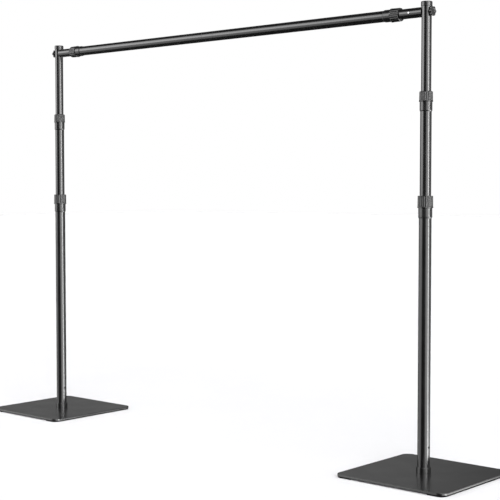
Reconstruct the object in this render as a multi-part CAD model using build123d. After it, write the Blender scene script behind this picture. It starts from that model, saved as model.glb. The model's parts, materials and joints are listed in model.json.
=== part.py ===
"""Free-standing background support.

Two telescoping uprights stand on square steel base plates. A telescoping
crossbar, made of two halves, is pulled against the tops of the uprights by a
star knob at each end. Every telescoping joint is held by a twist lock: a
threaded collar on the larger tube, a split collet around the smaller tube and
a ribbed nut that squeezes the collet.

Frame: origin on the floor midway between the uprights, X from the left
upright to the right one, Y to the rear, Z up. Millimetres throughout.
"""
from build123d import *
from dataclasses import dataclass
from math import pi
import os

os.makedirs("parts", exist_ok=True)

# ---------------------------------------------------------------- layout
upright_spacing = 1560.0
bar_height = 1287.0
overall_height = 1315.0

# ---------------------------------------------------------------- base
pad_thickness = 4.0
pad_width = 50.0
pad_inset = 1.5
plate_size = 355.0
plate_thickness = 6.0
plate_corner = 22.0
plate_bevel = 0.8
plate_top = pad_thickness + plate_thickness

# ---------------------------------------------------------------- tubes
wall = 1.2
lower_radius = 17.5
mid_radius = 15.75
top_radius = 14.0
lower_lock_height = 748.0
upper_lock_height = 1040.5
mid_tube_bottom = 330.0
top_tube_bottom = 586.0
bar_inner_length = 600.0
left_lock_distance = 104.5
right_lock_distance = 115.0

# ---------------------------------------------------------------- fits and edges
fit_gap = 0.05
running_gap = 0.06
body_gap = 0.3
passing_gap = 0.35
edge_break = 0.5
plug_chamfer = 1.0
through = 1.0

# ---------------------------------------------------------------- foot
ferrule_radius = 20.5
ferrule_height = 16.0
ferrule_floor = 4.0
ferrule_plug_height = 82.0
foot_screw_height = 82.0
bolt_radius = 4.0
bolt_head_radius = 8.0
bolt_head_height = 3.0
bolt_reach = 36.0
bolt_socket_radius = 2.9
bolt_socket_depth = 2.0
bolt_hole_depth = 50.0

# ---------------------------------------------------------------- small screws
screw_radius = 1.7
screw_reach = 9.0
foot_screw_head_radius = 3.4
foot_screw_head_height = 0.9
bar_screw_head_radius = 2.6
bar_screw_head_height = 1.5
screw_slot_width = 0.7
screw_slot_length = 3.0
screw_slot_depth = 0.7
spot_face_depth = 0.25
bar_screw_distance = 50.0
bar_screw_angle = 90.0

# ---------------------------------------------------------------- twist locks
tube_stop_depth = 4.0
seat_thickness = 1.2
neck_step = 0.9
mouth_height = 2.0
mouth_widening = 0.8
collet_head_height = 5.2
collet_head_step = 0.4
collet_slit = 2.0
collet_slits = 4
sleeve_foot_inset = 1.2
sleeve_foot_height = 2.6
nut_foot_bevel = 0.3
nut_lip_height = 2.6
nut_lip_depth = 0.4
nut_rib_depth = 1.1
nut_rib_count = 18
nut_groove_share = 0.4
neck_share = 0.65
nut_end_margin = 3.5
nut_taper = 0.3

# ---------------------------------------------------------------- bushings
bushing_flange = 8.0
bushing_plug = 20.0
bushing_wall = 2.4

# ---------------------------------------------------------------- bar ends
cap_radius = 15.75
cap_skirt_bottom = 1301.5
cap_crown = 2.4
cap_rounding = 2.2
bar_end_distance = 10.0
plug_outer_distance = 11.5
plug_inner_distance = 68.0
plug_bore_end = 39.0
stud_radius = 3.0
stud_inner_distance = 34.0
washer_radius = 6.5
washer_thickness = 1.2
knob_radius = 14.0
knob_boss_radius = 7.5
knob_boss_height = 0.8
knob_head_height = 6.4
knob_top_thickness = 1.5
knob_lobes = 6
knob_scallop_radius = 5.0
knob_scallop_offset = 16.2
knob_bevel = 0.9

# ---------------------------------------------------------------- centre joint
coupling_left = -60.0
coupling_right = -12.0
coupling_spigot = 55.0
coupling_bore_radius = 10.5


@dataclass
class Lock:
    """Sizes of one twist lock, in a frame whose Z runs from the larger tube to the smaller one.

    Height 0 is the step between the collar's sleeve and the nut.
    """

    inner_radius: float
    outer_radius: float
    sleeve_radius: float
    sleeve_length: float
    nut_radius: float
    nut_length: float
    nut_crown: float

    @property
    def seat_radius(self):
        return self.inner_radius + seat_thickness

    @property
    def neck_radius(self):
        return self.sleeve_radius - neck_step

    @property
    def neck_length(self):
        return neck_share * self.nut_length


lower_lock = Lock(mid_radius, lower_radius, 19.3, 28.0, 21.9, 34.0, 1.2)
upper_lock = Lock(top_radius, mid_radius, 17.5, 26.0, 19.3, 29.0, 3.0)
bar_lock = Lock(top_radius, mid_radius, 17.3, 24.0, 19.5, 30.5, 1.6)


# ---------------------------------------------------------------- helpers
def rod(radius, low, high):
    """Solid cylinder on the Z axis between two heights."""
    return Pos(0, 0, low) * Cylinder(radius, high - low, align=(Align.CENTER, Align.CENTER, Align.MIN))


def pipe(outer, inner, low, high):
    """Open cylinder on the Z axis between two heights."""
    return rod(outer, low, high) - rod(inner, low - through, high + through)


def turned(*points):
    """Solid turned about Z from an outline of (radius, height) points."""
    outline = Polyline(*[(radius, 0, height) for radius, height in points], close=True)
    return revolve(make_face(outline), Axis.Z)


def along_x(shape):
    """Lay a shape built along Z down along X."""
    return Rot(0, 90, 0) * shape


def radial(shape, angle, height):
    """Lay a shape along the direction at an angle about Z, at a height."""
    return Pos(0, 0, height) * Rot(0, 0, angle) * along_x(shape)


def around(shape, count):
    """Copies of a shape evenly spaced about the Z axis."""
    return [Rot(0, 0, 360 * step / count) * shape for step in range(count)]


# ---------------------------------------------------------------- base
def plate_outline(size, corner):
    return RectangleRounded(size, size, corner)


def base_plate():
    """Square plate with rounded corners, bevelled round its top edge and drilled in the middle."""
    plate = Pos(0, 0, pad_thickness) * extrude(plate_outline(plate_size, plate_corner), plate_thickness)
    top_edges = plate.faces().sort_by(Axis.Z)[-1].edges()
    plate = chamfer(top_edges, plate_bevel)
    return plate - rod(bolt_radius + body_gap, 0, plate_top + through)


def base_pads():
    """Two rubber strips under the plate's outer edges, set in a little from its outline."""
    size = plate_size - 2 * pad_inset
    blank = extrude(plate_outline(size, plate_corner - pad_inset), pad_thickness)
    middle = Box(size - 2 * pad_width, 2 * size, 4 * pad_thickness)
    return blank - middle


def base_bolt():
    """Low-headed bolt that comes up through the plate into the foot."""
    head_bottom = pad_thickness - bolt_head_height
    head = rod(bolt_head_radius, head_bottom, pad_thickness)
    shank = rod(bolt_radius, pad_thickness, plate_top + bolt_reach)
    socket = extrude(RegularPolygon(bolt_socket_radius, 6), bolt_socket_depth)
    return head + shank - Pos(0, 0, head_bottom) * socket


def screw_seat_radius(tube_radius):
    """Distance from a tube's axis to the flat that a small screw's head sits on."""
    return tube_radius - spot_face_depth


def small_screw(seat, head_radius, head_height):
    """Pan-head screw along Z whose head sits at the seat height."""
    shank = rod(screw_radius, seat - screw_reach, seat)
    head = rod(head_radius, seat, seat + head_height)
    head = fillet(head.edges().sort_by(Axis.Z)[-1], head_height / 2)
    slot_height = seat + head_height - screw_slot_depth / 2
    slots = Pos(0, 0, slot_height) * (
        Box(screw_slot_length, screw_slot_width, screw_slot_depth)
        + Box(screw_slot_width, screw_slot_length, screw_slot_depth)
    )
    return shank + head - slots


def small_screw_room(seat, head_radius):
    """What a small screw needs cut away: its shank's hole and a flat for its head."""
    hole = rod(screw_radius + fit_gap, seat - screw_reach - through, seat + through)
    flat = rod(head_radius + 2 * fit_gap, seat, seat + screw_reach)
    return hole + flat


def foot_screw():
    screw = small_screw(screw_seat_radius(lower_radius), foot_screw_head_radius, foot_screw_head_height)
    return radial(screw, 0, foot_screw_height)


def foot_screw_room():
    room = small_screw_room(screw_seat_radius(lower_radius), foot_screw_head_radius)
    return radial(room, 0, foot_screw_height)


def foot_ferrule():
    """Collar around the upright's foot, in one piece with the threaded plug inside the tube."""
    plug_radius = lower_radius - wall - fit_gap
    groove_radius = lower_radius + fit_gap
    floor = plate_top + ferrule_floor
    ring_top = plate_top + ferrule_height
    plug_top = plate_top + ferrule_plug_height
    body = turned(
        (0, plate_top),
        (ferrule_radius, plate_top),
        (ferrule_radius, ring_top - plug_chamfer),
        (ferrule_radius - plug_chamfer, ring_top),
        (groove_radius, ring_top),
        (groove_radius, floor),
        (plug_radius, floor),
        (plug_radius, plug_top - plug_chamfer),
        (plug_radius - plug_chamfer, plug_top),
        (0, plug_top),
    )
    thread = rod(bolt_radius + fit_gap, plate_top - through, plate_top + bolt_hole_depth)
    return body - thread - foot_screw_room()


# ---------------------------------------------------------------- tubes and bushings
def lower_tube():
    floor = plate_top + ferrule_floor
    tube = pipe(lower_radius, lower_radius - wall, floor, lower_lock_height - tube_stop_depth)
    return tube - foot_screw_room()


def mid_tube():
    return pipe(mid_radius, mid_radius - wall, mid_tube_bottom, upper_lock_height - tube_stop_depth)


def top_tube():
    """Top tube, cross-drilled for the knob's stud."""
    tube = pipe(top_radius, top_radius - wall, top_tube_bottom, overall_height - cap_crown)
    cross_hole = rod(stud_radius + body_gap, -2 * top_radius, 2 * top_radius)
    return tube - radial(cross_hole, 0, bar_height)


def bushing(inner_tube_radius, outer_tube_radius):
    """Plastic glide in the end of the smaller tube, whose flange runs in the larger tube.

    Height 0 is the smaller tube's end.
    """
    run_radius = outer_tube_radius - wall - running_gap
    plug_radius = inner_tube_radius - wall - fit_gap
    bore_radius = plug_radius - bushing_wall
    return turned(
        (bore_radius, -bushing_flange),
        (run_radius - edge_break, -bushing_flange),
        (run_radius, edge_break - bushing_flange),
        (run_radius, 0),
        (plug_radius, 0),
        (plug_radius, bushing_plug),
        (bore_radius, bushing_plug),
    )


# ---------------------------------------------------------------- twist locks
def lock_collar(lock):
    """Sleeve over the larger tube's end with a threaded neck that holds the collet."""
    bore_radius = lock.outer_radius + fit_gap
    return turned(
        (bore_radius, -lock.sleeve_length),
        (lock.sleeve_radius - sleeve_foot_inset, -lock.sleeve_length),
        (lock.sleeve_radius, sleeve_foot_height - lock.sleeve_length),
        (lock.sleeve_radius, -edge_break),
        (lock.sleeve_radius - edge_break, 0),
        (lock.neck_radius, 0),
        (lock.neck_radius, lock.neck_length),
        (lock.seat_radius + mouth_widening, lock.neck_length),
        (lock.seat_radius, lock.neck_length - mouth_height),
        (lock.seat_radius, -tube_stop_depth),
        (bore_radius, -tube_stop_depth),
    )


def lock_collet(lock):
    """Split ring around the smaller tube, with a coned head above the collar's mouth."""
    bore_radius = lock.inner_radius + running_gap
    body_radius = lock.seat_radius - running_gap
    head_radius = lock.neck_radius - collet_head_step
    bottom = edge_break - tube_stop_depth
    head_top = lock.neck_length + collet_head_height
    cone_slope = mouth_height / mouth_widening
    cone_bottom = lock.neck_length - mouth_height
    cone_top = cone_bottom + cone_slope * (head_radius - body_radius)
    ring = turned(
        (bore_radius, bottom),
        (body_radius, bottom),
        (body_radius, cone_bottom),
        (head_radius, cone_top),
        (head_radius, head_top - edge_break),
        (head_radius - edge_break, head_top),
        (bore_radius, head_top),
    )
    reach = 2 * lock.outer_radius
    whole_slit = Pos(reach / 2, 0, 0) * Box(reach, collet_slit, 4 * lock.nut_length)
    part_height = head_top - mouth_height
    part_slit = Pos(reach / 2, 0, mouth_height + part_height) * Box(reach, collet_slit, 2 * part_height)
    return ring - whole_slit - around(part_slit, collet_slits)[1:]


def lock_nut(lock):
    """Ribbed nut with a plain lip round its foot, whose inner shoulder presses on the collet."""
    thread_radius = lock.neck_radius + running_gap
    shoulder = lock.neck_length + collet_head_height + body_gap
    passing_radius = lock.inner_radius + passing_gap
    body_radius = lock.nut_radius - nut_lip_depth
    narrow_radius = body_radius - nut_taper
    body = turned(
        (thread_radius, body_gap),
        (lock.nut_radius - nut_foot_bevel, body_gap),
        (lock.nut_radius, body_gap + nut_foot_bevel),
        (lock.nut_radius, nut_lip_height),
        (body_radius, nut_lip_height + nut_lip_depth),
        (narrow_radius, lock.nut_length - lock.nut_crown),
        (narrow_radius - lock.nut_crown, lock.nut_length),
        (passing_radius + edge_break, lock.nut_length),
        (passing_radius, lock.nut_length - edge_break),
        (passing_radius, shoulder),
        (thread_radius, shoulder),
    )
    rib_pitch = 2 * pi * lock.nut_radius / nut_rib_count
    groove_radius = nut_groove_share * rib_pitch / 2
    groove = rod(groove_radius, nut_end_margin, lock.nut_length - nut_end_margin)
    groove_offset = body_radius + groove_radius - nut_rib_depth
    return body - around(Pos(groove_offset, 0, 0) * groove, nut_rib_count)


def lock_pieces(lock, prefix):
    return {
        f"{prefix}_collar": lock_collar(lock),
        f"{prefix}_collet": lock_collet(lock),
        f"{prefix}_nut": lock_nut(lock),
    }


# ---------------------------------------------------------------- top of the upright
def top_cap():
    """Cap over the top tube's end, rounded round its crown."""
    cap = rod(cap_radius, cap_skirt_bottom, overall_height)
    cap = fillet(cap.edges().sort_by(Axis.Z)[-1], cap_rounding)
    return cap - rod(top_radius + fit_gap, cap_skirt_bottom - through, overall_height - cap_crown)


# ---------------------------------------------------------------- crossbar
# These pieces lie in a bar frame: Z points outwards along the bar and height 0
# is the upright's axis, so that inner pieces have negative heights.
def upright_room():
    """The upright's own cylinder, which the bar's end is cut to sit against."""
    return along_x(rod(top_radius + fit_gap, -3 * top_radius, 3 * top_radius))


def bar_screw():
    screw = small_screw(screw_seat_radius(top_radius), bar_screw_head_radius, bar_screw_head_height)
    return radial(screw, bar_screw_angle, -bar_screw_distance)


def bar_screw_room():
    room = small_screw_room(screw_seat_radius(top_radius), bar_screw_head_radius)
    return radial(room, bar_screw_angle, -bar_screw_distance)


def bar_inner_tube():
    end = -bar_end_distance
    tube = pipe(top_radius, top_radius - wall, end - bar_inner_length, end)
    return tube - upright_room() - bar_screw_room()


def bar_plug():
    """Threaded plug in the bar's end, hollowed to sit against the upright."""
    plug = rod(top_radius - wall - fit_gap, -plug_inner_distance, -plug_outer_distance)
    thread = rod(stud_radius + running_gap, -plug_bore_end, 0)
    return plug - thread - upright_room() - bar_screw_room()


def bar_bushing():
    """The upright's upper bushing, turned to face the middle of the bar."""
    end = -bar_end_distance - bar_inner_length
    return Pos(0, 0, end) * bushing(top_radius, mid_radius)


def bar_outer_tube(lock_distance, inner_end):
    return pipe(mid_radius, mid_radius - wall, inner_end, -lock_distance - tube_stop_depth)


washer_inner = top_radius + body_gap
boss_inner = washer_inner + washer_thickness + 2 * fit_gap
head_inner = boss_inner + knob_boss_height
knob_outer = head_inner + knob_head_height
stud_outer = knob_outer - knob_top_thickness


def knob_washer():
    return pipe(washer_radius, stud_radius + 2 * fit_gap, washer_inner, washer_inner + washer_thickness)


def knob():
    """Star-shaped head with a short boss, bored for the stud."""
    scallop_blank = rod(knob_scallop_radius, head_inner - through, knob_outer + through)
    scallop = Pos(knob_scallop_offset, 0, 0) * scallop_blank
    head = rod(knob_radius, head_inner, knob_outer) - around(scallop, knob_lobes)
    head = chamfer(head.faces().sort_by(Axis.Z)[-1].edges(), knob_bevel)
    boss = rod(knob_boss_radius, boss_inner, head_inner)
    stud_bore = rod(stud_radius + fit_gap, boss_inner - through, stud_outer)
    return head + boss - stud_bore


def knob_stud():
    return rod(stud_radius, -stud_inner_distance, stud_outer)


def bar_coupling():
    """Flush ring between the two outer tubes with a spigot into each, along X."""
    spigot_radius = mid_radius - wall - fit_gap
    ring = rod(mid_radius, coupling_left, coupling_right)
    spigots = rod(spigot_radius, coupling_left - coupling_spigot, coupling_right + coupling_spigot)
    bore_reach = 2 * coupling_spigot
    bore = rod(coupling_bore_radius, coupling_left - bore_reach, coupling_right + bore_reach)
    return along_x(ring + spigots - bore)


# ---------------------------------------------------------------- assembly
def lifted(pieces, height):
    return {name: Pos(0, 0, height) * shape for name, shape in pieces.items()}


def upright_pieces():
    """One upright, standing on the origin."""
    pieces = {
        "base_plate": base_plate(),
        "base_pads": base_pads(),
        "base_bolt": base_bolt(),
        "foot_ferrule": foot_ferrule(),
        "foot_screw": foot_screw(),
        "lower_tube": lower_tube(),
        "mid_bushing": Pos(0, 0, mid_tube_bottom) * bushing(mid_radius, lower_radius),
        "mid_tube": mid_tube(),
        "top_bushing": Pos(0, 0, top_tube_bottom) * bushing(top_radius, mid_radius),
        "top_tube": top_tube(),
        "top_cap": top_cap(),
    }
    pieces.update(lifted(lock_pieces(lower_lock, "lower"), lower_lock_height))
    pieces.update(lifted(lock_pieces(upper_lock, "upper"), upper_lock_height))
    return pieces


def bar_half_pieces(lock_distance, inner_end):
    """One half of the crossbar with its knob, in the bar frame."""
    pieces = {
        "bar_plug": bar_plug(),
        "bar_screw": bar_screw(),
        "bar_inner_tube": bar_inner_tube(),
        "bar_bushing": bar_bushing(),
        "bar_outer_tube": bar_outer_tube(lock_distance, inner_end),
        "knob_washer": knob_washer(),
        "knob": knob(),
        "knob_stud": knob_stud(),
    }
    pieces.update(lifted(lock_pieces(bar_lock, "bar"), -lock_distance))
    return pieces


def bar_frame(side):
    """Frame at a bar end: Z outwards, X up."""
    origin = (side * upright_spacing / 2, 0, bar_height)
    return Plane(origin=origin, x_dir=(0, 0, 1), z_dir=(side, 0, 0)).location


def stand_pieces():
    """Every piece of the stand by name, in the stand's own frame."""
    pieces = {}
    half = upright_spacing / 2
    sides = (
        ("left", -1, left_lock_distance, -half - coupling_left),
        ("right", 1, right_lock_distance, coupling_right - half),
    )
    for name, side, lock_distance, inner_end in sides:
        for piece, shape in upright_pieces().items():
            pieces[f"{name}_{piece}"] = Pos(side * half, 0, 0) * shape
        for piece, shape in bar_half_pieces(lock_distance, inner_end).items():
            pieces[f"{name}_{piece}"] = bar_frame(side) * shape
    pieces["bar_coupling"] = Pos(0, 0, bar_height) * bar_coupling()
    return pieces


for name, shape in stand_pieces().items():
    export_step(shape, f"parts/{name}.step")
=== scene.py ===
"""A backdrop stand in a white studio: two telescoping uprights on square plates and a telescoping crossbar.

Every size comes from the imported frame. Lengths are in metres and angles in degrees.
"""
import json
import math
from collections import namedtuple
from functools import partial

import bpy
from mathutils import Matrix, Vector


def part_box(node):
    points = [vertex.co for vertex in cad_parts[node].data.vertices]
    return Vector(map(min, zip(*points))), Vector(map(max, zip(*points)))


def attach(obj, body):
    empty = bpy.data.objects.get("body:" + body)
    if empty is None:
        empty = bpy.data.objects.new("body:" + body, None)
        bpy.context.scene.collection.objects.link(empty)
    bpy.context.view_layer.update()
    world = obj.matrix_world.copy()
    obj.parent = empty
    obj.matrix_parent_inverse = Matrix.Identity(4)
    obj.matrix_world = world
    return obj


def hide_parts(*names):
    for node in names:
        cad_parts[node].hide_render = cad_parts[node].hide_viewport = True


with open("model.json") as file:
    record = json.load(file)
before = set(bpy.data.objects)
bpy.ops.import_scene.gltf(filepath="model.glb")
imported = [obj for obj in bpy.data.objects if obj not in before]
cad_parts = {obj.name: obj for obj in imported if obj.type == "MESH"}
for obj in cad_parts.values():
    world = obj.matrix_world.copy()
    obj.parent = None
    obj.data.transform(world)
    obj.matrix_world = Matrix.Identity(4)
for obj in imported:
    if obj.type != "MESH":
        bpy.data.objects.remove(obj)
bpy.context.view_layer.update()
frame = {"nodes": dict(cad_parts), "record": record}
NODE_BODY = {node: body for body, nodes in frame["record"]["behaviour"]["bodies"].items() for node in nodes}
NODE_SLOT = {part["node"]: part["material_slot"] for part in frame["record"]["subparts"]}
SIDES = {"left": -1, "right": 1}

MM = 0.001
TUBE_WALL = 1.2 * MM
FIT_GAP = 0.05 * MM
NUT_GAP = 0.3 * MM
ROUND_SEGMENTS = 96
ARC_STEPS = 6
SUPPORT = 0.25 * MM
AXIS_POINT = 0.01 * MM
SHARP_ANGLE = 32


# ---------------------------------------------------------------- frame measurements
Round = namedtuple("Round", "place radius low high")


def standing(node):
    """Measures of a vertical round node: its axis as a matrix, its radius and its two ends' heights."""
    low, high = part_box(node)
    middle = (low + high) / 2
    radius = max(high.x - low.x, high.y - low.y) / 2
    return Round(Matrix.Translation((middle.x, middle.y, 0)), radius, low.z, high.z)


def lying(node, side=1):
    """Measures of a round node along the bar, in a frame whose Z points outwards on that side and X up."""
    low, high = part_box(node)
    middle = (low + high) / 2
    radius = max(high.y - low.y, high.z - low.z) / 2
    outwards = Vector((side, 0, 0))
    up = Vector((0, 0, 1))
    turn = Matrix((up, outwards.cross(up), outwards)).transposed().to_4x4()
    ends = sorted((side * low.x, side * high.x))
    return Round(Matrix.Translation((0, middle.y, middle.z)) @ turn, radius, *ends)


# ---------------------------------------------------------------- outlines
def arc_corner(before, corner, after, radius):
    """Points of a tangent arc that rounds one corner of an outline."""
    corner = Vector(corner)
    back = (Vector(before) - corner).normalized()
    ahead = (Vector(after) - corner).normalized()
    half_angle = back.angle(ahead) / 2
    reach = radius / math.tan(half_angle)
    middle = corner + (back + ahead).normalized() * radius / math.sin(half_angle)
    start = corner + back * reach - middle
    stop = corner + ahead * reach - middle
    first = math.atan2(start.y, start.x)
    sweep = math.atan2(start.x * stop.y - start.y * stop.x, start.dot(stop))
    angles = (first + sweep * step / ARC_STEPS for step in range(ARC_STEPS + 1))
    return [middle + Vector((math.cos(angle), math.sin(angle))) * radius for angle in angles]


def rounded(corners):
    """The points of a closed outline given as (x, y, rounding) corners."""
    points = []
    for index, (x, y, rounding) in enumerate(corners):
        if rounding:
            before = corners[index - 1][:2]
            after = corners[(index + 1) % len(corners)][:2]
            points += arc_corner(before, (x, y), after, rounding)
        else:
            points.append(Vector((x, y)))
    return points


def supported(points, closed=True):
    """The same outline with a support point just inside each end of a long straight stretch."""
    result = []
    for index, point in enumerate(points):
        result.append(point)
        if not closed and index == len(points) - 1:
            break
        following = points[(index + 1) % len(points)]
        stretch = following - point
        if stretch.length > 4 * SUPPORT:
            inset = stretch.normalized() * SUPPORT
            result += [point + inset, following - inset]
    return result


# ---------------------------------------------------------------- meshes
def new_piece(name, vertices, faces):
    """A smooth-shaded mesh object, with its edges kept sharp where they turn by more than the sharp angle."""
    mesh = bpy.data.meshes.new(name)
    mesh.from_pydata(vertices, [], faces)
    mesh.validate()
    mesh.shade_smooth()
    mesh.set_sharp_from_angle(angle=math.radians(SHARP_ANGLE))
    piece = bpy.data.objects.new(name, mesh)
    bpy.context.scene.collection.objects.link(piece)
    return piece


def bridge(rings, closed):
    """Faces that join each ring of points to the next one, and the last to the first if closed."""
    count = len(rings[0])
    faces = []
    for index in range(len(rings) if closed else len(rings) - 1):
        here = index * count
        there = (index + 1) % len(rings) * count
        for step in range(count):
            ahead = (step + 1) % count
            faces.append((here + step, here + ahead, there + ahead, there + step))
    return faces


def ring_piece(name, rings, place=Matrix.Identity(4)):
    """A closed tube-like mesh through rings of points."""
    vertices = [place @ Vector(point) for ring in rings for point in ring]
    return new_piece(name, vertices, bridge(rings, closed=True))


def capped_piece(name, rings, place=Matrix.Identity(4)):
    """A closed solid through rings of points, its first and last rings filled."""
    count = len(rings[0])
    vertices = [place @ Vector(point) for ring in rings for point in ring]
    faces = bridge(rings, closed=False)
    last = count * (len(rings) - 1)
    faces.append(tuple(reversed(range(count))))
    faces.append(tuple(range(last, last + count)))
    return new_piece(name, vertices, faces)


def circle(radius, height, warp, segments):
    """One ring about Z. warp, if given, moves each (radius, angle, height) point."""
    points = []
    for step in range(segments):
        angle = 2 * math.pi * step / segments
        reach, level = warp(radius, angle, height) if warp else (radius, height)
        points.append((reach * math.cos(angle), reach * math.sin(angle), level))
    return points


def turned(name, place, corners, warp=None, segments=ROUND_SEGMENTS):
    """A hollow piece turned about its place's Z axis from a closed outline of corners."""
    points = supported(rounded(corners))
    rings = [circle(point.x, point.y, warp, segments) for point in points]
    return ring_piece(name, rings, place)


def turned_solid(name, place, corners, warp=None, segments=ROUND_SEGMENTS):
    """A solid turned about its place's Z axis, from an outline that starts and ends beside the axis."""
    points = supported(rounded(corners), closed=False)
    rings = [circle(point.x, point.y, warp, segments) for point in points]
    return capped_piece(name, rings, place)


def finish_piece(piece, node):
    """Put a piece in a CAD node's stead: same body, same finish."""
    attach(piece, NODE_BODY[node])
    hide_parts(node)
    piece.data.materials.append(MATERIALS[NODE_SLOT[node]])


# ---------------------------------------------------------------- materials
NOISE_LOW = 0.3
NOISE_HIGH = 0.7


def shader(name, base, roughness, metallic=0.0, specular=0.5):
    """A new material, its node tree's nodes and links, and its main shader."""
    material = bpy.data.materials.new(name)
    material.use_nodes = True
    nodes = material.node_tree.nodes
    principled = nodes["Principled BSDF"]
    principled.inputs["Base Color"].default_value = (*grey(base), 1)
    principled.inputs["Roughness"].default_value = roughness
    principled.inputs["Metallic"].default_value = metallic
    principled.inputs["Specular IOR Level"].default_value = specular
    return material, nodes, material.node_tree.links, principled


def grey(value):
    """A neutral grey with the faint coolness of black paint."""
    return (value, value, value * 1.02)


def noise(nodes, links, scale, detail=4.0, stretch=(1, 1, 1)):
    """Noise over the piece, scale in features per metre."""
    coordinates = nodes.new("ShaderNodeTexCoord")
    mapping = nodes.new("ShaderNodeMapping")
    mapping.inputs["Scale"].default_value = stretch
    texture = nodes.new("ShaderNodeTexNoise")
    texture.inputs["Scale"].default_value = scale
    texture.inputs["Detail"].default_value = detail
    links.new(coordinates.outputs["Object"], mapping.inputs["Vector"])
    links.new(mapping.outputs["Vector"], texture.inputs["Vector"])
    return texture.outputs["Fac"]


def spread(nodes, links, value, low, high):
    """Carry a noise over to a range of values."""
    mapped = nodes.new("ShaderNodeMapRange")
    mapped.inputs["From Min"].default_value = NOISE_LOW
    mapped.inputs["From Max"].default_value = NOISE_HIGH
    mapped.inputs["To Min"].default_value = low
    mapped.inputs["To Max"].default_value = high
    links.new(value, mapped.inputs["Value"])
    return mapped.outputs["Result"]


def shade(nodes, links, value, dark, light):
    """Carry a noise over to the greys between two greys."""
    ramp = nodes.new("ShaderNodeValToRGB")
    first, last = ramp.color_ramp.elements
    first.position = NOISE_LOW
    last.position = NOISE_HIGH
    first.color = (*grey(dark), 1)
    last.color = (*grey(light), 1)
    links.new(value, ramp.inputs["Fac"])
    return ramp.outputs["Color"]


def bump(nodes, links, principled, height, strength, distance):
    """Fine surface relief from a height value."""
    relief = nodes.new("ShaderNodeBump")
    relief.inputs["Strength"].default_value = strength
    relief.inputs["Distance"].default_value = distance
    links.new(height, relief.inputs["Height"])
    links.new(relief.outputs["Normal"], principled.inputs["Normal"])


def coated_metal(name, base, roughness, peel_scale, peel_strength):
    """Satin powder coat: fine orange peel, a faint cloudiness and slightly uneven gloss."""
    material, nodes, links, principled = shader(name, base, roughness, specular=0.9)
    cloud = noise(nodes, links, 14)
    peel = noise(nodes, links, peel_scale, detail=2)
    links.new(shade(nodes, links, cloud, base * 0.8, base * 1.25), principled.inputs["Base Color"])
    links.new(spread(nodes, links, cloud, roughness - 0.02, roughness + 0.03), principled.inputs["Roughness"])
    bump(nodes, links, principled, peel, peel_strength, 0.1 * MM)
    return material


def moulded_plastic(name, base, roughness, grain_scale=1800, grain_strength=0.25, specular=0.45):
    """Moulded plastic with a fine spark-eroded grain and a little rubbing wear."""
    material, nodes, links, principled = shader(name, base, roughness, specular=specular)
    wear = noise(nodes, links, 60, detail=6)
    grain = noise(nodes, links, grain_scale, detail=3)
    links.new(shade(nodes, links, wear, base * 0.8, base * 1.5), principled.inputs["Base Color"])
    links.new(spread(nodes, links, wear, roughness - 0.05, roughness + 0.05), principled.inputs["Roughness"])
    bump(nodes, links, principled, grain, grain_strength, 0.1 * MM)
    return material


def bare_metal(name, base, roughness, metallic=1.0, specular=0.5):
    """Plated or blacked metal with fine machining lines and light tarnish."""
    material, nodes, links, principled = shader(name, base, roughness, metallic, specular)
    tarnish = noise(nodes, links, 160, detail=6)
    lines = noise(nodes, links, 900, detail=2, stretch=(1, 6, 1))
    dulled = spread(nodes, links, tarnish, roughness - 0.05, roughness + 0.08)
    links.new(shade(nodes, links, tarnish, base * 0.75, base * 1.15), principled.inputs["Base Color"])
    links.new(dulled, principled.inputs["Roughness"])
    bump(nodes, links, principled, lines, 0.2, 0.03 * MM)
    return material


MATERIALS = {
    "powder_coat": coated_metal("powder_coat", 0.004, 0.18, peel_scale=900, peel_strength=0.02),
    "plate_coat": coated_metal("plate_coat", 0.006, 0.24, peel_scale=700, peel_strength=0.06),
    "rubber": moulded_plastic("rubber", 0.003, 0.85, grain_scale=1200, grain_strength=0.6, specular=0.05),
    "lock_plastic": moulded_plastic("lock_plastic", 0.004, 0.32, grain_strength=0.03, specular=0.75),
    "cap_plastic": moulded_plastic("cap_plastic", 0.005, 0.24, grain_strength=0.05, specular=0.8),
    "plug_plastic": moulded_plastic("plug_plastic", 0.004, 0.50, specular=0.2),
    "collet_plastic": moulded_plastic("collet_plastic", 0.20, 0.45),
    "black_screw": bare_metal("black_screw", 0.003, 0.75, metallic=0.0, specular=0.1),
    "bright_screw": bare_metal("bright_screw", 0.75, 0.25),
}


# ---------------------------------------------------------------- base
PLATE_CORNER = 22 * MM
PLATE_BEVEL = 0.8 * MM
PLATE_HOLE = 4.3 * MM
PAD_EDGE = 0.4 * MM
PAD_WIDTH = 50 * MM
PAD_CORNER = 20.5 * MM
BEVEL_STEPS = 4


def box_outline(low, high, inset, roundings):
    """A rectangle's outline set in from its two corner points, with a rounding at each of its corners."""
    left, front = low.x + inset, low.y + inset
    right, back = high.x - inset, high.y - inset
    corners = ((left, front), (right, front), (right, back), (left, back))
    return rounded([(x, y, max(rounding - inset, 0)) for (x, y), rounding in zip(corners, roundings)])


def slab_rings(low, high, roundings, bevel):
    """Rings up the side of a slab, from its underside to its rounded-over upper edge."""
    rings = [(0, low.z)]
    for step in range(BEVEL_STEPS + 1):
        turn = math.radians(90 * step / BEVEL_STEPS)
        rings.append((bevel * (1 - math.cos(turn)), high.z - bevel * (1 - math.sin(turn))))
    rings.append((bevel + SUPPORT, high.z))
    outlines = [(box_outline(low, high, inset, roundings), height) for inset, height in rings]
    return [[(point.x, point.y, height) for point in outline] for outline, height in outlines]


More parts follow.
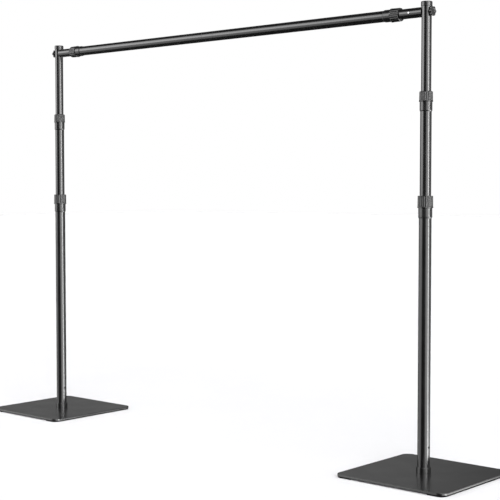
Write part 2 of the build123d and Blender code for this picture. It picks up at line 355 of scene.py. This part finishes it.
def base_plate(side):
    """The square plate, with the hole that the foot bolt comes through."""
    node = f"{side}_base_plate"
    low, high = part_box(node)
    middle = (low + high) / 2
    rings = slab_rings(low, high, 4 * [PLATE_CORNER], PLATE_BEVEL)
    hole = []
    for x, y, _ in rings[0]:
        reach = Vector((x - middle.x, y - middle.y)).normalized() * PLATE_HOLE
        hole.append((middle.x + reach.x, middle.y + reach.y))
    rings.insert(0, [(x, y, low.z) for x, y in hole])
    rings.append([(x, y, high.z) for x, y in hole])
    finish_piece(ring_piece(f"{side}_coated_base", rings), node)


def base_pads(side):
    """The two rubber strips under the plate."""
    node = f"{side}_base_pads"
    low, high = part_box(node)
    strips = {
        "left": (low.x, low.x + PAD_WIDTH, (PAD_CORNER, 0, 0, PAD_CORNER)),
        "right": (high.x - PAD_WIDTH, high.x, (0, PAD_CORNER, PAD_CORNER, 0)),
    }
    for edge, (start, stop, roundings) in strips.items():
        strip_low = Vector((start, low.y, low.z))
        strip_high = Vector((stop, high.y, high.z))
        rings = slab_rings(strip_low, strip_high, roundings, PAD_EDGE)
        finish_piece(capped_piece(f"{side}_rubber_strip_{edge}", rings), node)


# ---------------------------------------------------------------- tubes
TUBE_EDGE = 0.3 * MM
FERRULE_PLUG_GAP = 1.25 * MM
FERRULE_FLOOR = 4 * MM
FERRULE_HEIGHT = 16 * MM
BOLT_HOLE = 4.05 * MM


def upright_tube(side, name):
    """A drawn tube of an upright, its ends lightly broken."""
    node = f"{side}_{name}"
    place, radius, low, high = standing(node)
    inner = radius - TUBE_WALL
    corners = ((inner, low, 0), (radius, low, TUBE_EDGE), (radius, high, TUBE_EDGE), (inner, high, 0))
    finish_piece(turned(f"{node}_coated", place, corners), node)


def foot_ferrule(side):
    """The collar round the upright's foot, and the plug inside the tube."""
    node = f"{side}_foot_ferrule"
    place, radius, low, high = standing(node)
    tube_radius = standing(f"{side}_lower_tube").radius
    groove = tube_radius + FIT_GAP
    plug = tube_radius - FERRULE_PLUG_GAP
    ring_top = low + FERRULE_HEIGHT
    floor = low + FERRULE_FLOOR
    corners = (
        (BOLT_HOLE, low, 0),
        (radius, low, TUBE_EDGE),
        (radius, ring_top, MM),
        (groove, ring_top, TUBE_EDGE),
        (groove, floor, 0),
        (plug, floor, 0),
        (plug, high, MM),
        (BOLT_HOLE, high, 0),
    )
    finish_piece(turned(f"{side}_ferrule_coated", place, corners), node)


def top_cap(side):
    """The cap on the top tube, rounded round its crown."""
    node = f"{side}_top_cap"
    place, radius, low, high = standing(node)
    tube = standing(f"{side}_top_tube")
    inner = tube.radius + FIT_GAP
    corners = (
        (AXIS_POINT, tube.high, 0),
        (inner, tube.high, 0),
        (inner, low, 0),
        (radius, low, 0.5 * MM),
        (radius, high, 2.2 * MM),
        (AXIS_POINT, high, 0),
    )
    finish_piece(turned_solid(f"{node}_moulded", place, corners), node)


# ---------------------------------------------------------------- twist locks
NECK_STEP = 0.9 * MM
TUBE_STOP = 4 * MM
COLLET_ROOM = 5.5 * MM
COLLET_SEAT_DEPTH = 1.6 * MM
NUT_THREAD_GAP = 0.06 * MM
NUT_MOUTH_GAP = 0.35 * MM
SLEEVE_FOOT = 2.6 * MM
SLEEVE_FOOT_INSET = 1.2 * MM
NUT_RIBS = 18
POINTS_PER_RIB = 12
NUT_GROOVE_DEPTH = 1.1 * MM
NUT_EDGE = 0.4 * MM
NUT_LIP = 2.6 * MM
NUT_LIP_DEPTH = 0.4 * MM
NUT_TAPER = 0.3 * MM
GROOVE_RUN_OUT = 1.2 * MM


def lock_collar(measure, prefix, outer_tube):
    """The lock's smooth sleeve, tapered at its foot, and the neck that goes up inside the nut."""
    node = f"{prefix}_collar"
    place, radius, low, high = measure(node)
    step_height = measure(f"{prefix}_nut").low - NUT_GAP
    bore = measure(outer_tube).radius + FIT_GAP
    neck = radius - NECK_STEP
    seat = neck - COLLET_SEAT_DEPTH
    stop = step_height - TUBE_STOP
    corners = (
        (bore, low, 0),
        (radius - SLEEVE_FOOT_INSET, low, 0.4 * MM),
        (radius, low + SLEEVE_FOOT, 1.5 * MM),
        (radius, step_height, 0.4 * MM),
        (neck, step_height, 0),
        (neck, high, 0.3 * MM),
        (seat, high, 0),
        (seat, stop, 0),
        (bore, stop, 0),
    )
    finish_piece(turned(f"{node}_moulded", place, corners), node)


def ribbed(surface, groove_low, groove_high):
    """A warp that hollows the outline between a nut's rounded ribs, less towards their two ends."""

    def warp(reach, angle, height):
        pitch = angle * NUT_RIBS / (2 * math.pi)
        hollow = ((1 + math.cos(2 * math.pi * pitch)) / 2) ** 2
        from_end = min(height - groove_low, groove_high - height)
        if reach > surface and from_end > 0:
            reach -= NUT_GROOVE_DEPTH * min(from_end / GROOVE_RUN_OUT, 1) * hollow
        return reach, height

    return warp


def lock_nut(measure, prefix, inner_tube, crown):
    """The lock's ribbed nut, with a plain lip round its foot and a rounded mouth."""
    node = f"{prefix}_nut"
    place, radius, low, high = measure(node)
    collar = measure(f"{prefix}_collar")
    thread = collar.radius - NECK_STEP + NUT_THREAD_GAP
    passing = measure(inner_tube).radius + NUT_MOUTH_GAP
    shoulder = collar.high + COLLET_ROOM
    body = radius - NUT_LIP_DEPTH
    narrow = body - NUT_TAPER
    groove_low = low + NUT_LIP
    groove_high = high - 0.4 * crown
    corners = (
        (thread, low, 0),
        (radius, low, NUT_EDGE),
        (radius, low + NUT_LIP, NUT_EDGE),
        (body, groove_low + GROOVE_RUN_OUT, 0),
        (narrow, high - crown - GROOVE_RUN_OUT, 0),
        (narrow, high, crown),
        (passing, high, 0.5 * MM),
        (passing, shoulder, 0),
        (thread, shoulder, 0),
    )
    warp = ribbed(narrow - crown / 2, groove_low, groove_high)
    segments = NUT_RIBS * POINTS_PER_RIB
    finish_piece(turned(f"{node}_moulded", place, corners, warp, segments), node)


def twist_lock(measure, prefix, outer_tube, inner_tube, crown):
    """The seen pieces of one lock. measure is the function that reads a node standing or lying."""
    lock_collar(measure, prefix, outer_tube)
    lock_nut(measure, prefix, inner_tube, crown)


# ---------------------------------------------------------------- crossbar
STUD_BORE = 3.06 * MM
SADDLE_LENGTH = 8 * MM
SPIGOT_WALL = 4 * MM
SEAM_EDGE = 0.5 * MM


def saddled(side, end):
    """A warp that hollows the outer end of a bar's piece to fit round the upright."""
    upright = standing(f"{side}_top_tube")
    axis_distance = abs(upright.place.translation.x)

    def warp(reach, angle, height):
        if height < end - SADDLE_LENGTH / 2:
            return reach, height
        across = reach * math.sin(angle)
        hollow = math.sqrt(max((upright.radius + FIT_GAP) ** 2 - across ** 2, 0))
        return reach, height + min(axis_distance - hollow - end, 0)

    return warp


def bar_inner_tube(side):
    """The bar's smaller tube, saddled against the upright."""
    node = f"{side}_bar_inner_tube"
    place, radius, low, high = lying(node, SIDES[side])
    inner = radius - TUBE_WALL
    shank = high - SADDLE_LENGTH
    corners = (
        (inner, low, 0),
        (radius, low, TUBE_EDGE),
        (radius, shank, 0),
        (radius, high, TUBE_EDGE),
        (inner, high, 0),
        (inner, shank, 0),
    )
    finish_piece(turned(f"{node}_coated", place, corners, saddled(side, high)), node)


def bar_plug(side):
    """The dark plug in the bar's end."""
    node = f"{side}_bar_plug"
    place, radius, low, high = lying(node, SIDES[side])
    shank = high - SADDLE_LENGTH
    corners = (
        (STUD_BORE, low, 0),
        (radius, low, MM),
        (radius, shank, 0),
        (radius, high, 0),
        (STUD_BORE, high, 0),
        (STUD_BORE, shank, 0),
    )
    finish_piece(turned(f"{node}_moulded", place, corners, saddled(side, high)), node)


def bar_outer_tube(side):
    """The bar's larger tube. Its broken inner end shows as a seam beside the coupling."""
    node = f"{side}_bar_outer_tube"
    place, radius, low, high = lying(node, SIDES[side])
    inner = radius - TUBE_WALL
    corners = ((inner, low, 0), (radius, low, SEAM_EDGE), (radius, high, TUBE_EDGE), (inner, high, 0))
    finish_piece(turned(f"{node}_coated", place, corners), node)


def bar_coupling():
    """The flush ring between the bar's halves, with a hollow spigot into each."""
    place, radius, low, high = lying("bar_coupling")
    ring_low = lying("left_bar_outer_tube").high
    ring_high = lying("right_bar_outer_tube").low
    spigot = radius - TUBE_WALL - FIT_GAP
    bore = spigot - SPIGOT_WALL
    corners = (
        (bore, low, 0),
        (spigot, low, MM),
        (spigot, ring_low, 0),
        (radius, ring_low, SEAM_EDGE),
        (radius, ring_high, SEAM_EDGE),
        (spigot, ring_high, 0),
        (spigot, high, MM),
        (bore, high, 0),
    )
    finish_piece(turned("bar_coupling_coated", place, corners), "bar_coupling")


# ---------------------------------------------------------------- knobs
KNOB_LOBES = 6
KNOB_SEGMENTS = 144
KNOB_BOSS = 7.5 * MM
KNOB_BOSS_HEIGHT = 0.8 * MM
KNOB_SCALLOP = 2.8 * MM
KNOB_DISH = 0.8 * MM
KNOB_ROUND_CORE = 8 * MM


def lobed(radius, inner):
    """A warp that draws a knob's rim in between its lobes."""

    def warp(reach, angle, height):
        if reach <= inner:
            return reach, height
        valley = (1 + math.cos(KNOB_LOBES * angle)) / 2
        share = (reach - inner) / (radius - inner)
        return reach - KNOB_SCALLOP * valley ** 1.5 * share, height

    return warp


def knob(side):
    """The star knob, with a dished face and a short boss towards the upright."""
    node = f"{side}_knob"
    place, radius, low, high = lying(node, SIDES[side])
    stud_end = lying(f"{side}_knob_stud", SIDES[side]).high
    head = low + KNOB_BOSS_HEIGHT
    corners = (
        (AXIS_POINT, stud_end, 0),
        (STUD_BORE, stud_end, 0),
        (STUD_BORE, low, 0),
        (KNOB_BOSS, low, 0.3 * MM),
        (KNOB_BOSS, head, 0.3 * MM),
        (radius, head, 0.9 * MM),
        (radius, high, 1.8 * MM),
        (KNOB_BOSS, high, 1.0 * MM),
        (KNOB_BOSS - MM, high - KNOB_DISH, 0.6 * MM),
        (AXIS_POINT, high - KNOB_DISH, 0),
    )
    warp = lobed(radius, KNOB_ROUND_CORE)
    finish_piece(turned_solid(f"{node}_moulded", place, corners, warp, KNOB_SEGMENTS), node)


# ---------------------------------------------------------------- the stand
for side, outwards in SIDES.items():
    base_plate(side)
    base_pads(side)
    foot_ferrule(side)
    for tube_name in ("lower_tube", "mid_tube", "top_tube"):
        upright_tube(side, tube_name)
    top_cap(side)
    along_bar = partial(lying, side=outwards)
    twist_lock(standing, f"{side}_lower", f"{side}_lower_tube", f"{side}_mid_tube", crown=1.2 * MM)
    twist_lock(standing, f"{side}_upper", f"{side}_mid_tube", f"{side}_top_tube", crown=3.0 * MM)
    twist_lock(along_bar, f"{side}_bar", f"{side}_bar_outer_tube", f"{side}_bar_inner_tube", crown=1.6 * MM)
    bar_inner_tube(side)
    bar_plug(side)
    bar_outer_tube(side)
    knob(side)
bar_coupling()

for node, piece in frame["nodes"].items():
    if not piece.hide_render:
        piece.data.materials.clear()
        piece.data.materials.append(MATERIALS[NODE_SLOT[node]])


# ---------------------------------------------------------------- studio
# A panel reaches between two azimuths and two elevations, with a soft edge outside each, in degrees.
# Its lean is how far its azimuth falls for each degree up, so its top leans to the left.
Softbox = namedtuple("Softbox", "azimuth elevation azimuth_edge elevation_edge brightness lean")

SOFTBOXES = {
    "narrow right strip": Softbox((92, 103), (-35, 50), 4, 15, 10.5, 1.2),
    "broad right panel": Softbox((60, 92), (-35, 50), 28, 15, 2.6, 0.9),
    "rear right panel": Softbox((107, 160), (-35, 45), 25, 20, 0.55, 0),
    "low rear right lamp": Softbox((122, 150), (-60, -12), 5, 3, 5.0, 0),
    "raised left lamp": Softbox((-62, -32), (8, 26), 14, 14, 3.2, 0),
    "left panel": Softbox((-85, -30), (-25, 10), 18, 12, 1.1, 0),
    "rear glow": Softbox((-144, -122), (9, 30), 13, 6, 0.26, 0),
}
AMBIENT = 0.045
CEILING_STRENGTH = 1.93
CEILING_SPREAD = 120
FLOOR_REACH = 30
FLOOR_DROP = 0.2 * MM
CAMERA_PLACE = (2.648, -2.852, 0.797)
CAMERA_DOWNWARD_TILT = 2.8
CAMERA_TURN = 41.4
SENSOR_WIDTH = 36
FOCAL_LENGTH = 87.8


def calculate(nodes, links, operation, *values):
    """One maths step on sockets or numbers."""
    step = nodes.new("ShaderNodeMath")
    step.operation = operation
    for socket, value in zip(step.inputs, values):
        if isinstance(value, (int, float)):
            socket.default_value = value
        else:
            links.new(value, socket)
    return step.outputs["Value"]


def azimuth_and_elevation(nodes, links):
    """Degrees of a direction: azimuth from -Y towards +X, and elevation above the horizon."""
    coordinates = nodes.new("ShaderNodeTexCoord")
    split = nodes.new("ShaderNodeSeparateXYZ")
    links.new(coordinates.outputs["Generated"], split.inputs["Vector"])
    front = calculate(nodes, links, "MULTIPLY", split.outputs["Y"], -1)
    turn = calculate(nodes, links, "ARCTAN2", split.outputs["X"], front)
    rise = calculate(nodes, links, "ARCSINE", split.outputs["Z"])
    return calculate(nodes, links, "DEGREES", turn), calculate(nodes, links, "DEGREES", rise)


def within(nodes, links, value, limits, edge):
    """1 between two limits, falling to 0 over a soft edge outside each."""
    low, high = limits
    sides = []
    for limit, outside in ((low, low - edge), (high, high + edge)):
        side = nodes.new("ShaderNodeMapRange")
        side.interpolation_type = "SMOOTHSTEP"
        side.inputs["From Min"].default_value = outside
        side.inputs["From Max"].default_value = limit
        links.new(value, side.inputs["Value"])
        sides.append(side.outputs["Result"])
    return calculate(nodes, links, "MULTIPLY", *sides)


def studio_world():
    """Soft panels round the stand for its reflections, and plain white for the camera."""
    world = bpy.data.worlds.new("studio")
    bpy.context.scene.world = world
    world.use_nodes = True
    nodes, links = world.node_tree.nodes, world.node_tree.links
    azimuth, elevation = azimuth_and_elevation(nodes, links)
    total = AMBIENT
    for softbox in SOFTBOXES.values():
        leaning = calculate(nodes, links, "MULTIPLY_ADD", elevation, softbox.lean, azimuth)
        across = within(nodes, links, leaning, softbox.azimuth, softbox.azimuth_edge)
        upward = within(nodes, links, elevation, softbox.elevation, softbox.elevation_edge)
        panel = calculate(nodes, links, "MULTIPLY", across, upward)
        total = calculate(nodes, links, "MULTIPLY_ADD", panel, softbox.brightness, total)
    panels = nodes["Background"]
    panels.inputs["Color"].default_value = (1, 1, 1, 1)
    links.new(total, panels.inputs["Strength"])
    backdrop = nodes.new("ShaderNodeBackground")
    backdrop.inputs["Color"].default_value = (1, 1, 1, 1)
    seen = nodes.new("ShaderNodeLightPath")
    mix = nodes.new("ShaderNodeMixShader")
    links.new(seen.outputs["Is Camera Ray"], mix.inputs["Fac"])
    links.new(panels.outputs["Background"], mix.inputs[1])
    links.new(backdrop.outputs["Background"], mix.inputs[2])
    links.new(mix.outputs["Shader"], nodes["World Output"].inputs["Surface"])


def overhead_light():
    """Soft light from the whole ceiling. It whitens the floor and stays out of reflections."""
    lamp = bpy.data.lights.new("ceiling", "SUN")
    lamp.energy = CEILING_STRENGTH
    lamp.angle = math.radians(CEILING_SPREAD)
    light = bpy.data.objects.new("ceiling", lamp)
    light.visible_glossy = False
    bpy.context.scene.collection.objects.link(light)


def studio_floor():
    """A pale floor, not seen in the stand's reflections."""
    directions = ((-1, -1), (1, -1), (1, 1), (-1, 1))
    corners = [(x * FLOOR_REACH, y * FLOOR_REACH, -FLOOR_DROP) for x, y in directions]
    floor = new_piece("studio_floor", corners, [(0, 1, 2, 3)])
    material, nodes, links, principled = shader("floor_paint", 0.68, 0.9, specular=0.0)
    tone = noise(nodes, links, 3)
    links.new(shade(nodes, links, tone, 0.675, 0.685), principled.inputs["Base Color"])
    floor.data.materials.append(material)
    floor.visible_glossy = False


def camera():
    """A long lens at half the stand's height, looking from its front right."""
    lens = bpy.data.cameras.new("camera")
    lens.sensor_width = SENSOR_WIDTH
    lens.lens = FOCAL_LENGTH
    view = bpy.data.objects.new("camera", lens)
    view.location = CAMERA_PLACE
    view.rotation_euler = (math.radians(90 - CAMERA_DOWNWARD_TILT), 0, math.radians(CAMERA_TURN))
    bpy.context.scene.collection.objects.link(view)
    bpy.context.scene.camera = view


studio_world()
overhead_light()
studio_floor()
camera()
bpy.context.scene.view_settings.view_transform = "Standard"
